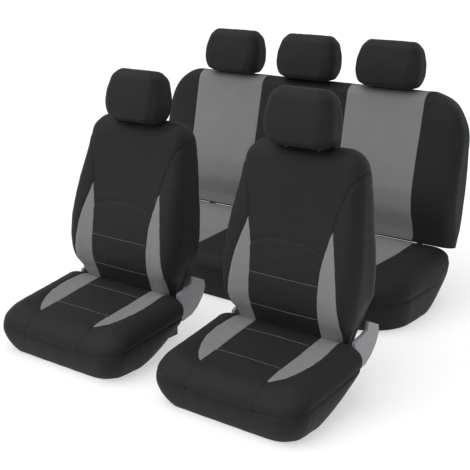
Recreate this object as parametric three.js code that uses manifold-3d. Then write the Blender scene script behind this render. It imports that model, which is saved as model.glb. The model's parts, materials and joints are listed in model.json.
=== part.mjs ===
// Car seat cover set, fitted: two front seats and a rear bench wearing their covers.
// Units are millimetres, +Z is up and the seats face -Y. Every seat stands on z = 0.
// A cover is a thin sewn shell, open at its foot. Foam, frame and posts fill it.
import * as THREE from 'three';
import { mergeVertices } from 'three/addons/utils/BufferGeometryUtils.js';
import Module from 'manifold-3d';

const wasm = await Module();
wasm.setup();

// ---------- driving dimensions ----------

const skin = 3; // cover cloth with its foam backing
const gap = 1; // air between the cloth and the foam
const cornerAngles = [0, 1, 2, 3].map((step) => (step * Math.PI) / 6); // one rounded corner
const ringPoints = 4 * cornerAngles.length + 4; // points round one section of a padded form

const layout = { frontPitch: 720, benchX: -249 };

const frontSeat = {
  pivot: { y: -40, z: 150 },
  recline: { driver: 7, passenger: 10 }, // degrees that each backrest leans back
  backTop: 645,
  headrestFoot: 647.5,
};

const bench = {
  pivot: { y: 892, z: 288 },
  recline: 9,
  backTop: 548,
  headrestFoot: 550.5,
  headrestPitch: 382,
};

const post = { radius: 5, spread: 62, bore: 5.5, y: -88, rise: 118, drop: 145, bend: 22 };
const guide = { radius: 8, flange: 13, flangeHeight: 2 };
const shaft = { radius: 9, hole: 10 };

const paint = {
  cloth: ['black_cloth', '#2b2c2e', 0.75, 0],
  foam: ['foam', '#d9d2bd', 0.9, 0],
  steel: ['black_steel', '#1d1e20', 0.5, 0.6],
  chrome: ['bright_steel', '#c9ccd0', 0.2, 1],
  plastic: ['black_plastic', '#222325', 0.55, 0],
  trim: ['grey_plastic', '#94949b', 0.5, 0],
  elastic: ['black_elastic', '#1b1b1d', 0.85, 0],
};

// ---------- materials and groups ----------

function material([name, color, roughness, metalness]) {
  return new THREE.MeshStandardMaterial({ name, color, roughness, metalness });
}

const materials = Object.fromEntries(Object.entries(paint).map(([key, row]) => [key, material(row)]));

function addPiece(parent, name, geometry, finish) {
  const mesh = new THREE.Mesh(geometry, materials[finish]);
  mesh.name = name;
  parent.add(mesh);
  return mesh;
}

// ---------- solids ----------

function toSolid(geometry) {
  const bare = geometry.clone();
  bare.deleteAttribute('normal');
  bare.deleteAttribute('uv');
  const merged = mergeVertices(bare, 1e-4);
  const vertProperties = Float32Array.from(merged.attributes.position.array);
  const triVerts = Uint32Array.from(merged.index.array);
  return new wasm.Manifold(new wasm.Mesh({ numProp: 3, vertProperties, triVerts }));
}

function toGeometry(solid) {
  const mesh = solid.getMesh();
  const geometry = new THREE.BufferGeometry();
  geometry.setAttribute('position', new THREE.BufferAttribute(mesh.vertProperties, 3));
  geometry.setIndex(new THREE.BufferAttribute(mesh.triVerts, 1));
  return geometry;
}

function cut(geometry, tools) {
  const solid = tools.reduce((body, tool) => body.subtract(toSolid(tool)), toSolid(geometry));
  return toGeometry(solid);
}

function join(geometries) {
  return toGeometry(geometries.map(toSolid).reduce((a, b) => a.add(b)));
}

// A box given by its lowest and highest corner.
function block(low, high) {
  const size = high.map((value, i) => value - low[i]);
  const geometry = new THREE.BoxGeometry(...size);
  return geometry.translate(...low.map((value, i) => value + size[i] / 2));
}

// A round bar along X, or along Z when upright.
function barX(radius, x0, x1, y = 0, z = 0, sides = 16) {
  const geometry = new THREE.CylinderGeometry(radius, radius, x1 - x0, sides);
  return geometry.rotateZ(Math.PI / 2).translate((x0 + x1) / 2, y, z);
}

function barZ(radius, z0, z1, x = 0, y = 0, sides = 10) {
  const geometry = new THREE.CylinderGeometry(radius, radius, z1 - z0, sides);
  return geometry.rotateX(Math.PI / 2).translate(x, y, (z0 + z1) / 2);
}

// A plate: an outline in Y and Z, extruded along X.
function plateX(outline, x0, x1) {
  const shape = new THREE.Shape(outline.map(([y, z]) => new THREE.Vector2(y, z)));
  const geometry = new THREE.ExtrudeGeometry(shape, { depth: x1 - x0, bevelEnabled: false });
  geometry.rotateX(Math.PI / 2).rotateZ(Math.PI / 2);
  return geometry.translate(x0, 0, 0);
}

// ---------- padded forms: rounded sections stacked from foot to crown ----------

// One section: a rounded rectangle with a mid point on each side. Its rear may taper,
// and a crowned front bows forward in the middle.
function section(row, inset) {
  const halfX = row.half - inset;
  const halfY = (row.back - row.front) / 2 - inset;
  const middle = (row.back + row.front) / 2;
  const corner = (signX, signY, start) => {
    const wanted = (signY > 0 ? row.roundBack : row.round) ?? row.round;
    const radius = Math.max(1, Math.min(wanted - inset, halfX - 1, halfY - 1));
    return cornerAngles.map((step) => {
      const angle = start + step;
      const x = signX * (halfX - radius) + radius * Math.cos(angle);
      return [x, signY * (halfY - radius) + radius * Math.sin(angle)];
    });
  };
  const outline = [
    [halfX, 0], ...corner(1, 1, 0), [0, halfY], ...corner(-1, 1, Math.PI / 2),
    [-halfX, 0], ...corner(-1, -1, Math.PI), [0, -halfY], ...corner(1, -1, 1.5 * Math.PI),
  ];
  return outline.map(([x, y]) => {
    const rearShare = Math.max(0, y / halfY);
    const bow = y < 0 ? (row.bow ?? 0) * (x / halfX) ** 2 : 0;
    const placed = middle + y + bow;
    const z = row.level(placed) - inset * (row.sink ?? 0);
    return new THREE.Vector3(x * (1 - (row.taper ?? 0) * rearShare), placed, z);
  });
}

// Rings from foot to crown, then the crown's middle point.
function formPoints(rows, inset) {
  const rings = rows.map((row) => section(row, inset));
  const last = rings[rings.length - 1];
  const crown = last.reduce((sum, p) => sum.add(p), new THREE.Vector3()).divideScalar(ringPoints);
  return [...rings.flat(), crown];
}

// Triangles of the side bands and the crown. Flipped, they face inwards.
function formTriangles(rowCount, start, flipped) {
  const n = ringPoints;
  const triangles = [];
  for (let k = 0; k < rowCount - 1; k += 1) {
    for (let i = 0; i < n; i += 1) {
      const [a, b] = [start + k * n + i, start + k * n + ((i + 1) % n)];
      triangles.push([a, b, b + n], [a, b + n, a + n]);
    }
  }
  const top = start + (rowCount - 1) * n;
  for (let i = 0; i < n; i += 1) triangles.push([top + i, top + ((i + 1) % n), top + n]);
  return flipped ? triangles.map(([a, b, c]) => [a, c, b]) : triangles;
}

function meshFrom(points, triangles) {
  const geometry = new THREE.BufferGeometry().setFromPoints(points);
  return geometry.setIndex(triangles.flat());
}

function solidForm(rows, inset) {
  const points = formPoints(rows, inset);
  const triangles = formTriangles(rows.length, 0, false);
  const foot = points.slice(0, ringPoints).reduce((sum, p) => sum.clone().add(p), new THREE.Vector3());
  points.push(foot.divideScalar(ringPoints));
  for (let i = 0; i < ringPoints; i += 1) {
    triangles.push([(i + 1) % ringPoints, i, points.length - 1]);
  }
  return meshFrom(points, triangles);
}

// A cover: the outer skin, the inner skin facing inwards, and the hem that joins them.
function shellForm(rows) {
  const outer = formPoints(rows, 0);
  const inner = formPoints(rows, skin);
  const start = outer.length;
  const triangles = [
    ...formTriangles(rows.length, 0, false),
    ...formTriangles(rows.length, start, true),
  ];
  for (let i = 0; i < ringPoints; i += 1) {
    const j = (i + 1) % ringPoints;
    triangles.push([start + i, start + j, j], [start + i, j, i]);
  }
  return meshFrom([...outer, ...inner], triangles);
}

// ---------- row tables of each form ----------

const flat = (z) => () => z;

// The foot of a backrest cover is lower at the front than at the back.
const slopedFoot = (frontZ, backZ, frontY, backY) => (y) => {
  const t = THREE.MathUtils.clamp((y - frontY) / (backY - frontY), 0, 1);
  return THREE.MathUtils.lerp(frontZ, backZ, t);
};

const frontBackRows = [
  { half: 206, front: -56, back: 32, round: 34, level: slopedFoot(-38, -14, -56, 32) },
  { half: 208, front: -82, back: 34, round: 36, level: flat(30) },
  { half: 230, front: -126, back: 34, round: 40, taper: 0.05, level: flat(100) },
  { half: 252, front: -144, back: 32, round: 42, taper: 0.08, level: flat(195) },
  { half: 251, front: -143, back: 26, round: 42, taper: 0.09, level: flat(300) },
  { half: 242, front: -130, back: 19, round: 42, taper: 0.09, level: flat(400) },
  { half: 229, front: -122, back: 15, round: 42, taper: 0.08, level: flat(495) },
  { half: 214, front: -116, back: 8, round: 42, taper: 0.06, level: flat(565) },
  { half: 190, front: -110, back: -2, round: 40, level: flat(616), sink: 0.6 },
  { half: 150, front: -96, back: -14, round: 34, level: flat(frontSeat.backTop), sink: 1 },
];

const rearBackRows = [
  { half: 708, front: -40, back: 24, round: 24, level: slopedFoot(-48, 12, -40, 24) },
  { half: 712, front: -68, back: 25, round: 34, level: flat(20) },
  { half: 714, front: -98, back: 25, round: 44, level: flat(76) },
  { half: 716, front: -113, back: 21, round: 44, level: flat(169) },
  { half: 716, front: -109, back: 11, round: 44, level: flat(300) },
  { half: 716, front: -104, back: 4, round: 44, level: flat(430) },
  { half: 700, front: -101, back: 0, round: 42, level: flat(500) },
  { half: 666, front: -94, back: -6, round: 38, level: flat(532), sink: 0.6 },
  { half: 620, front: -82, back: -18, round: 30, level: flat(bench.backTop), sink: 1 },
];

function headrestRows(foot, height, half, front, back) {
  const rows = [
    [0, 0.72, 8, 1], [0.09, 0.9, 2, 1], [0.33, 1, 0, 0], [0.62, 0.95, 0, 0],
    [0.86, 0.84, 6, 0.4], [0.96, 0.74, 16, 1], [1, 0.55, 28, 1],
  ];
  return rows.map(([share, width, pull, sink], i) => ({
    half: half * width,
    front: front + pull,
    back: back - pull,
    level: flat(foot + share * height),
    sink: i < 2 ? 0 : sink,
    round: 38,
  }));
}

// A cushion: the hem rises behind, the top slopes down to the front, the rear end steps in.
function cushionRows({ half, front, back, hem, top, tongue, round, bow }) {
  const rows = [
    [0, 0, 12, 0, 0], [0.18, -8, 4, 0, 0], [0.5, -14, -2, 0, 0], [0.74, -10, 0, 2, 0.7],
    [0.9, 6, 18, tongue, 0.7], [0.975, 26, 44, tongue + 2, 1], [1, 64, 90, tongue + 12, 1],
  ];
  return rows.map(([share, side, nose, tail, sink]) => ({
    half: half - side,
    front: front + nose,
    back: back - tail,
    sink,
    round,
    roundBack: 34,
    bow,
    level: (y) => THREE.MathUtils.lerp(hem(y), top(y), share),
  }));
}

const ramp = (y, y0, z0, y1, z1) => {
  const t = THREE.MathUtils.clamp((y - y0) / (y1 - y0), 0, 1);
  return THREE.MathUtils.lerp(z0, z1, t);
};

const hemClearance = 2;

const frontCushionRows = cushionRows({
  half: 262,
  front: -490,
  back: -113,
  hem: (y) => hemClearance + 96 * ramp(y, -330, 0, -113, 1) ** 1.6,
  top: (y) => ramp(y, -470, 148, -128, 200),
  tongue: 15,
  round: 74,
});

const rearCushionRows = cushionRows({
  half: 676,
  front: 384,
  back: 905,
  hem: (y) => hemClearance + 120 * ramp(y, 715, 0, 905, 1) ** 1.8,
  top: (y) => ramp(y, 384, 160, 845, 243),
  tongue: 60,
  round: 170,
  bow: 40,
});

// ---------- headrests ----------

// Two legs joined by a rounded bar, as one bent rod.
function postCurve(foot, spread, y) {
  const low = foot - post.drop;
  const high = foot + post.rise;
  const path = new THREE.CurvePath();
  const at = (x, z) => new THREE.Vector3(x, y, z);
  const bend = post.bend;
  path.add(new THREE.LineCurve3(at(-spread, low), at(-spread, high - bend)));
  path.add(new THREE.QuadraticBezierCurve3(at(-spread, high - bend), at(-spread, high), at(-spread + bend, high)));
  path.add(new THREE.LineCurve3(at(-spread + bend, high), at(spread - bend, high)));
  path.add(new THREE.QuadraticBezierCurve3(at(spread - bend, high), at(spread, high), at(spread, high - bend)));
  path.add(new THREE.LineCurve3(at(spread, high - bend), at(spread, low)));
  return path;
}

function rod(path, radius, sides = 6, steps = 20) {
  const circle = new THREE.Shape();
  for (let i = 0; i < sides; i += 1) {
    const angle = (i / sides) * 2 * Math.PI;
    const draw = i === 0 ? 'moveTo' : 'lineTo';
    circle[draw](radius * Math.cos(angle), radius * Math.sin(angle));
  }
  return new THREE.ExtrudeGeometry(circle, { steps, extrudePath: path, bevelEnabled: false });
}

function addHeadrest(parent, name, x, foot, half, front, back, y) {
  const group = new THREE.Group();
  group.position.x = x;
  parent.add(group);
  const rows = headrestRows(foot, 178, half, front, back);
  addPiece(group, `${name}_headrest_cover`, shellForm(rows), 'cloth');
  const path = postCurve(foot, post.spread, y);
  const foam = cut(solidForm(rows, skin + gap), [rod(path, post.radius + 1)]);
  addPiece(group, `${name}_headrest_foam`, foam, 'foam');
  addPiece(group, `${name}_headrest_posts`, rod(path, post.radius), 'chrome');
}

function addGuides(parent, name, x, backTop, railFoot, y) {
  const low = railFoot + 2;
  for (const [side, sign] of [['right', -1], ['left', 1]]) {
    const at = x + sign * post.spread;
    const body = join([
      barZ(guide.radius, low, backTop + 2, at, y),
      barZ(guide.flange, backTop + 0.4, backTop + guide.flangeHeight, at, y, 12),
    ]);
    const bore = barZ(post.bore + 0.2, low - 5, backTop + 20, at, y);
    addPiece(parent, `${name}_headrest_guide_${side}`, cut(body, [bore]), 'plastic');
  }
}

function guideHoles(centres, z0, z1, y, radius) {
  return centres.flatMap((x) => [-1, 1].map((s) => barZ(radius, z0, z1, x + s * post.spread, y)));
}

// ---------- front seats ----------

const arm = { inner: 146, outer: 170, front: -30, back: -10 };
const ear = { inner: 176, outer: 182 };
const trimPlate = { inner: 229.5, outer: 243 };

const frontRail = { foot: 522, top: 562 };

function frontFrame() {
  const { foot: railFoot, top: railTop } = frontRail;
  const rail = block([-arm.outer, post.y - 14, railFoot], [arm.outer, arm.back, railTop]);
  const pieces = [rail];
  for (const sign of [-1, 1]) {
    const [x0, x1] = [sign * arm.inner, sign * arm.outer].sort((a, b) => a - b);
    const lug = [x1 - 8, x0 + 8];
    pieces.push(block([x0, arm.front, 24], [x1, arm.back, railFoot + 1]));
    const [l0, l1] = sign > 0 ? [lug[0], x1] : [x0, lug[1]];
    pieces.push(plateX([[-20, -16], [14, -16], [14, 16], [arm.back, 60], [arm.front, 60]], l0, l1));
  }
  const cross = block([-arm.inner - 1, arm.front, 180], [arm.inner + 1, arm.back, 215]);
  const pivotHole = barX(shaft.hole, -200, 200, 0, 0);
  const holes = guideHoles([0], railFoot - 5, railTop + 5, post.y, guide.radius + 0.4);
  const channel = block([-arm.outer + 3, post.y - 11, railFoot - 1], [arm.outer - 3, arm.back - 3, railTop - 3]);
  return cut(join([...pieces, cross]), [channel, pivotHole, ...holes]);
}

function frontBackFoam() {
  const space = 1;
  const tools = [
    block([-arm.outer - space, post.y - 15, 520], [arm.outer + space, arm.back + space, 563]),
    block([-arm.inner - 2, arm.front - space, 178], [arm.inner + 2, arm.back + space, 217]),
    block([-400, -22, -60], [400, 20, 24]),
    ...guideHoles([0], 440, 521, post.y, 7),
    ...guideHoles([0], 562, 700, post.y, guide.radius + 0.4),
  ];
  for (const sign of [-1, 1]) {
    const xs = [sign * (arm.inner - space), sign * (arm.outer + space)].sort((a, b) => a - b);
    tools.push(block([xs[0], arm.front - space, -60], [xs[1], arm.back + space, 521]));
    const outer = [sign * 162, sign * 400].sort((a, b) => a - b);
    tools.push(block([outer[0], -300, -60], [outer[1], 300, 24]));
    const lugs = [sign * 160, sign * (arm.outer + space)].sort((a, b) => a - b);
    tools.push(plateX([[-26, 23], [17, 23], [1, 64], [-26, 64]], lugs[0], lugs[1]));
  }
  return cut(solidForm(frontBackRows, skin + gap), tools);
}

const frontTray = { low: [-150, -420, 0], high: [150, -30, 58] };

function tray({ low, high }) {
  return block([low[0] + 2, low[1] + 2, 2], [high[0] - 2, high[1] - 2, high[2] + 9]);
}

function frontPan() {
  const floorPan = block(frontTray.low, frontTray.high);
  const beam = block([-ear.outer, -84, 20], [ear.outer, -42, 58]);
  const { y, z } = frontSeat.pivot;
  const neck = [[y - 45, 50], [y - 4, 50], [y + 12, z - 12], [y + 18, z], [y + 12, z + 14], [y, z + 18],
    [y - 12, z + 14], [y - 18, z]];
  const ears = [-1, 1].map((sign) => {
    const xs = [sign * ear.inner, sign * ear.outer].sort((a, b) => a - b);
    return plateX(neck, xs[0], xs[1]);
  });
  return cut(join([floorPan, beam, ...ears]), [tray(frontTray), barX(shaft.radius + 0.4, -200, 200, y, z)]);
}

// The side trim over the recliner: a shield with a horn that points up behind the cushion.
const trimOutline = [[-105, 108], [-83, 97], [-32, 107], [2, 128], [31, 159], [47, 193], [42, 220],
  [-22, 250], [-29, 224], [-58, 214], [-91, 209], [-105, 202]];

function trimGeometry(sign) {
  const shape = new THREE.Shape(trimOutline.map(([y, z]) => new THREE.Vector2(y, z)));
  const bevel = 3;
  const depth = trimPlate.outer - trimPlate.inner - 2 * bevel;
  const geometry = new THREE.ExtrudeGeometry(shape, {
    depth, bevelEnabled: true, bevelThickness: bevel, bevelSize: bevel, bevelOffset: -bevel, bevelSegments: 2,
  });
  geometry.rotateX(Math.PI / 2).rotateZ(Math.PI / 2);
  const near = sign > 0 ? trimPlate.inner : -trimPlate.outer;
  return geometry.translate(near + bevel, 0, 0);
}

// A flat elastic strap that ties the two side hems together between foam and base.
function strap(halfWidth, y, z) {
  const band = block([-halfWidth, y - 12, z], [halfWidth, y + 12, z + 2]);
  const ends = [-1, 1].map((sign) => {
    const xs = [sign * (halfWidth - 2), sign * halfWidth].sort((a, b) => a - b);
    return block([xs[0], y - 12, z - 18], [xs[1], y + 12, z + 1]);
  });
  return join([band, ...ends]);
}

const strapLevel = 59;

// The foam fills its cover, stands round the tray and has a groove for the strap.
function cushionFoam(rows, { low, high }, grooveY, wide) {
  const form = solidForm(rows, skin + gap);
  const below = block([-1000, -2000, -50], [1000, 2000, 4]);
  const seat = block([low[0] - 1, low[1] - 1, -5], [high[0] + 1, high[1] + 1, strapLevel]);
  const groove = block([-wide, grooveY - 14, strapLevel - 20], [wide, grooveY + 14, strapLevel + 3]);
  return cut(form, [below, seat, groove]);
}

function addFrontSeat(set, name, x) {
  const seat = new THREE.Group();
  seat.position.x = x;
  set.add(seat);
  const { y, z } = frontSeat.pivot;
  const strapY = -290;

  addPiece(seat, `${name}_cushion_cover`, shellForm(frontCushionRows), 'cloth');
  addPiece(seat, `${name}_cushion_foam`, cushionFoam(frontCushionRows, frontTray, strapY, 260), 'foam');
  addPiece(seat, `${name}_cushion_pan`, frontPan(), 'steel');
  addPiece(seat, `${name}_cushion_strap`, strap(232, strapY, strapLevel), 'elastic');
  const shaftRod = barX(shaft.radius, -228.5, 228.5, y, z);
  addPiece(seat, `${name}_recliner_shaft`, shaftRod, 'steel');
  addPiece(seat, `${name}_left_recliner_trim`, trimGeometry(1), 'trim');
  addPiece(seat, `${name}_right_recliner_trim`, trimGeometry(-1), 'trim');

  const back = new THREE.Group();
  back.position.set(0, y, z);
  back.rotation.x = THREE.MathUtils.degToRad(-frontSeat.recline[name]);
  seat.add(back);
  const shaftEyes = barX(14, -300, 300);
  const topHoles = guideHoles([0], frontSeat.backTop - 60, frontSeat.backTop + 20, post.y, guide.radius + 0.5);
  const cover = cut(shellForm(frontBackRows), [shaftEyes, ...topHoles]);
  addPiece(back, `${name}_backrest_cover`, cover, 'cloth');
  addPiece(back, `${name}_backrest_foam`, frontBackFoam(), 'foam');
  addPiece(back, `${name}_backrest_frame`, frontFrame(), 'steel');
  addGuides(back, name, 0, frontSeat.backTop, frontRail.foot, post.y);
  addHeadrest(back, name, 0, frontSeat.headrestFoot, 122, -162, -50, post.y);
}

// ---------- rear bench ----------

const benchPost = { y: -62 };
const lugX = { inner: 520, outer: 526 };
const bracketX = { inner: 534, outer: 542 };
const headrestCentres = [-1, 0, 1].map((i) => i * bench.headrestPitch);
const benchPanel = { half: 650, front: -16, back: -12, foot: 14, top: 470, railFoot: 430 };

function benchFrame() {
  const { half, front, back, foot, top, railFoot } = benchPanel;
  const panel = block([-half, front, foot], [half, back, top]);
  const rail = block([-half, benchPost.y - 14, railFoot], [half, back - 1, top]);
  const lugs = [-1, 1].map((sign) => {
    const xs = [sign * lugX.inner, sign * lugX.outer].sort((a, b) => a - b);
    return plateX([[-14, -12], [10, -14], [14, 0], [12, 14], [back, 60], [front, 60], [-17, 4]], xs[0], xs[1]);
  });
  const pinHole = barX(8, -700, 700, 0, 0);
  const holes = guideHoles(headrestCentres, railFoot - 5, top + 5, benchPost.y, guide.radius + 0.4);
  const channel = block([-half + 3, benchPost.y - 11, railFoot - 1], [half - 3, front - 1, top - 3]);
  return cut(join([panel, rail, ...lugs]), [channel, pinHole, ...holes]);
}

function benchBackFoam() {
  const { half, front, back, top, railFoot } = benchPanel;
  const tools = [
    block([-half - 1, front - 1, -80], [half + 1, back + 1, top + 1]),
    block([-half - 1, benchPost.y - 15, railFoot - 1], [half + 1, back, top + 1]),
    ...guideHoles(headrestCentres, 360, 430, benchPost.y, 7),
    ...guideHoles(headrestCentres, 470, 600, benchPost.y, guide.radius + 0.4),
  ];
  for (const sign of [-1, 1]) {
    const xs = [sign * 514, sign * 548].sort((a, b) => a - b);
    tools.push(block([xs[0], -200, -80], [xs[1], 200, 64]));
  }
  return cut(solidForm(rearBackRows, skin + gap), tools);
}

const benchTray = { low: [-560, 470, 0], high: [560, 885, 58] };

function benchBase() {
  return cut(block(benchTray.low, benchTray.high), [tray(benchTray)]);
}

// An upright that stands behind the cushion and reaches forward to the hinge pin.
function hingeBracket(sign) {
  const { y, z } = bench.pivot;
  const outline = [[y + 28, 0], [y + 62, 0], [y + 62, z - 46], [y + 17, z - 2], [y + 12, z + 9],
    [y + 2, z + 14], [y - 8, z + 12], [y - 14, z + 2], [y - 10, z - 10], [y + 28, z - 54]];
  const xs = [sign * bracketX.inner, sign * bracketX.outer].sort((a, b) => a - b);
  const plate = plateX(outline, xs[0], xs[1]);
  const footXs = [sign * 440, sign * bracketX.outer].sort((a, b) => a - b);
  const foot = block([footXs[0], y + 28, 0], [footXs[1], y + 62, 5]);
  return cut(join([plate, foot]), [barX(7.4, -700, 700, y, z)]);
}

function addBench(set) {
  const row = new THREE.Group();
  row.position.x = layout.benchX;
  set.add(row);
  const { y, z } = bench.pivot;
  const strapY = 600;

  addPiece(row, 'rear_cushion_cover', shellForm(rearCushionRows), 'cloth');
  addPiece(row, 'rear_cushion_foam', cushionFoam(rearCushionRows, benchTray, strapY, 700), 'foam');
  addPiece(row, 'rear_cushion_base', benchBase(), 'steel');
  addPiece(row, 'rear_cushion_strap', strap(666, strapY, strapLevel), 'elastic');
  for (const [side, sign] of [['right', -1], ['left', 1]]) {
    addPiece(row, `rear_${side}_hinge_bracket`, hingeBracket(sign), 'steel');
    const xs = [sign * 516, sign * 546].sort((a, b) => a - b);
    addPiece(row, `rear_${side}_hinge_pin`, barX(7, xs[0], xs[1], y, z), 'steel');
  }

  const back = new THREE.Group();
  back.position.set(0, y, z);
  back.rotation.x = THREE.MathUtils.degToRad(-bench.recline);
  row.add(back);
  const holes = guideHoles(headrestCentres, bench.backTop - 60, bench.backTop + 20, benchPost.y, guide.radius + 0.5);
  addPiece(back, 'rear_backrest_cover', cut(shellForm(rearBackRows), holes), 'cloth');
  addPiece(back, 'rear_backrest_foam', benchBackFoam(), 'foam');
  addPiece(back, 'rear_backrest_frame', benchFrame(), 'steel');
  ['right', 'middle', 'left'].forEach((side, i) => {
    addGuides(back, `rear_${side}`, headrestCentres[i], bench.backTop, benchPanel.railFoot, benchPost.y);
    addHeadrest(back, `rear_${side}`, headrestCentres[i], bench.headrestFoot, 138, -142, -30, benchPost.y);
  });
}

// ---------- the whole set, its origin at the middle of its footprint ----------

const set = new THREE.Group();
addFrontSeat(set, 'driver', layout.frontPitch / 2);
addFrontSeat(set, 'passenger', -layout.frontPitch / 2);
addBench(set);

const bounds = new THREE.Box3().setFromObject(set, true);
const centre = bounds.getCenter(new THREE.Vector3());
set.position.set(-centre.x, -centre.y, -bounds.min.z);

export default set;
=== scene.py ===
import json
import math

import bmesh
import bpy
import numpy as np
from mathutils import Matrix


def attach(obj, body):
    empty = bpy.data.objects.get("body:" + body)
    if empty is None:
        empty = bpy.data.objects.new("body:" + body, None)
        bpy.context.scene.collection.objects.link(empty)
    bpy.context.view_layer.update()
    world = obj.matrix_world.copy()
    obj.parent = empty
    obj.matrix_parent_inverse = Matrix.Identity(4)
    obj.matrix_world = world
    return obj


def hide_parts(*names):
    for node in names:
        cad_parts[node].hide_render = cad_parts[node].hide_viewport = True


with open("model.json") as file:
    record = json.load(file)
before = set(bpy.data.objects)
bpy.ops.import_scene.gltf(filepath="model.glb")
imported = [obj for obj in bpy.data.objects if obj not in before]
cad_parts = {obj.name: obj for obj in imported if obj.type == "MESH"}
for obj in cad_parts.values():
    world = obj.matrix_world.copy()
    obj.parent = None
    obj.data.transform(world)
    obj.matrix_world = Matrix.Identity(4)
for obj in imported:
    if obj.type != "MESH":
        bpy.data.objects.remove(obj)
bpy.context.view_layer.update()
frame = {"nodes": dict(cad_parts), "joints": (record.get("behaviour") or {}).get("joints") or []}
jointPlace = {j["name"]: j.get("pos_m") for j in frame["joints"]}
mm = 0.001

# Every padded form is worked out in millimetres: x across the seat, y towards the rear,
# z up, measured from the floor point below the front seat's or the bench's own origin.
frontPivot = np.array([0, -40.0, 150.0])
benchPivot = np.array([0, 892.0, 288.0])
setShift = np.array(jointPlace["driver_recline"]) / mm - frontPivot
seatMiddle = {
    "driver": jointPlace["driver_recline"][0] / mm,
    "passenger": jointPlace["passenger_recline"][0] / mm,
    "rear": jointPlace["rear_backrest_fold"][0] / mm,
}
print("frame loaded:", len(frame["nodes"]), "nodes")


# Curves and surfaces

def smoothCurve(knots, values, at):
    # A cubic through each pair of knots. Each knot's slope is the harmonic mean of the
    # slopes beside it, or 0 at a turning point, so the curve never overshoots a value.
    x, y = np.asarray(knots, float), np.asarray(values, float)
    step = np.diff(x)
    slope = np.diff(y) / step
    same = slope[:-1] * slope[1:] > 0
    left = np.where(same, slope[:-1], 1)
    right = np.where(same, slope[1:], 1)
    mean = 2 * left * right / (left + right)
    tangent = np.concatenate([[slope[0]], np.where(same, mean, 0), [slope[-1]]])
    i = np.clip(np.searchsorted(x, at, side="right") - 1, 0, len(step) - 1)
    t = np.clip((at - x[i]) / step[i], 0, 1)
    return (
        (2 * t**3 - 3 * t**2 + 1) * y[i]
        + (t**3 - 2 * t**2 + t) * step[i] * tangent[i]
        + (3 * t**2 - 2 * t**3) * y[i + 1]
        + (t**3 - t**2) * step[i] * tangent[i + 1]
    )


def smoothStep(low, high, value):
    # 0 below low, 1 above high, and 3t^2 - 2t^3 between them.
    t = np.clip((value - low) / (high - low), 0, 1)
    return t * t * (3 - 2 * t)


def bump(centre, width, value):
    # A bell: 1 at the centre, falling as exp(-(distance / width)^2).
    return np.exp(-(((value - centre) / width) ** 2))


def roundedOutline(halfX, halfY, radiusFront, radiusBack, counts):
    # A rounded rectangle for each row, anticlockwise from the middle of its back:
    # straight runs between corners, and each corner a quarter circle.
    across, along, corner = counts
    halfX, halfY = np.atleast_1d(halfX)[:, None], np.atleast_1d(halfY)[:, None]
    limit = np.minimum(halfX, halfY) * 0.999
    front = np.minimum(np.atleast_1d(radiusFront)[:, None], limit)
    back = np.minimum(np.atleast_1d(radiusBack)[:, None], limit)
    turn = np.linspace(0, math.pi / 2, corner, endpoint=False)[None, :]

    def quarter(signX, signY, radius, start):
        angle = start + turn
        return (
            signX * (halfX - radius) + radius * np.cos(angle),
            signY * (halfY - radius) + radius * np.sin(angle),
        )

    def run(fromX, fromY, toX, toY, count):
        t = np.linspace(0, 1, count, endpoint=False)[None, :]
        return fromX + (toX - fromX) * t, fromY + (toY - fromY) * t

    xf, xb = halfX - front, halfX - back
    yf, yb = halfY - front, halfY - back
    zero = halfX * 0
    parts = [
        run(zero, halfY, -xb, halfY, across // 2),
        quarter(-1, 1, back, math.pi / 2),
        run(-halfX, yb, -halfX, -yf, along),
        quarter(-1, -1, front, math.pi),
        run(-xf, -halfY, xf, -halfY, across),
        quarter(1, -1, front, 1.5 * math.pi),
        run(halfX, -yf, halfX, yb, along),
        quarter(1, 1, back, 0),
        run(xb, halfY, zero, halfY, across // 2),
    ]
    return np.hstack([p[0] for p in parts]), np.hstack([p[1] for p in parts])


def surfaceNormals(grid):
    # The cross product of the way round a ring and the way up the rows.
    around = np.roll(grid, -1, axis=1) - np.roll(grid, 1, axis=1)
    upward = np.gradient(grid, axis=0)
    normal = np.cross(around, upward)
    size = np.linalg.norm(normal, axis=2, keepdims=True)
    return normal / np.maximum(size, 1e-9)


def unrolled(grid, frontColumn):
    # u is the length round the ring from the front's middle, v the length up the rows.
    stepU = np.linalg.norm(np.roll(grid, -1, axis=1) - grid, axis=2)
    total = np.concatenate([np.zeros((len(grid), 1)), np.cumsum(stepU, axis=1)], axis=1)[:, :-1]
    u = total - total[:, frontColumn : frontColumn + 1]
    stepV = np.linalg.norm(np.diff(grid, axis=0), axis=2)
    v = np.vstack([np.zeros((1, grid.shape[1])), np.cumsum(stepV, axis=0)])
    return u, v


def curveDistance(u, v, curve):
    # The shortest distance from every (u, v) to a line of joined points.
    shape = u.shape
    point = np.stack([u.ravel(), v.ravel()], axis=1)
    curve = np.asarray(curve, float)
    best = np.full(len(point), 1e9)
    for start, end in zip(curve[:-1], curve[1:]):
        way = end - start
        t = np.clip(((point - start) @ way) / max(way @ way, 1e-9), 0, 1)
        gapTo = point - (start + t[:, None] * way)
        best = np.minimum(best, np.hypot(gapTo[:, 0], gapTo[:, 1]))
    return best.reshape(shape)


def insideDistance(a, b, outline):
    # Above zero inside the closed outline and below zero outside, by its nearest edge.
    loop = np.asarray(outline, float)
    edge = curveDistance(a, b, np.vstack([loop, loop[:1]]))
    inside = np.zeros(a.shape, bool)
    for (x0, y0), (x1, y1) in zip(loop, np.roll(loop, -1, axis=0)):
        spans = (y0 > b) != (y1 > b)
        crossing = x0 + (b - y0) * (x1 - x0) / (y1 - y0 if y1 != y0 else 1e-9)
        inside ^= spans & (a < crossing)
    return np.where(inside, edge, -edge)


def mirrored(line):
    return [(-point[0], *point[1:]) for point in line]


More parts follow.
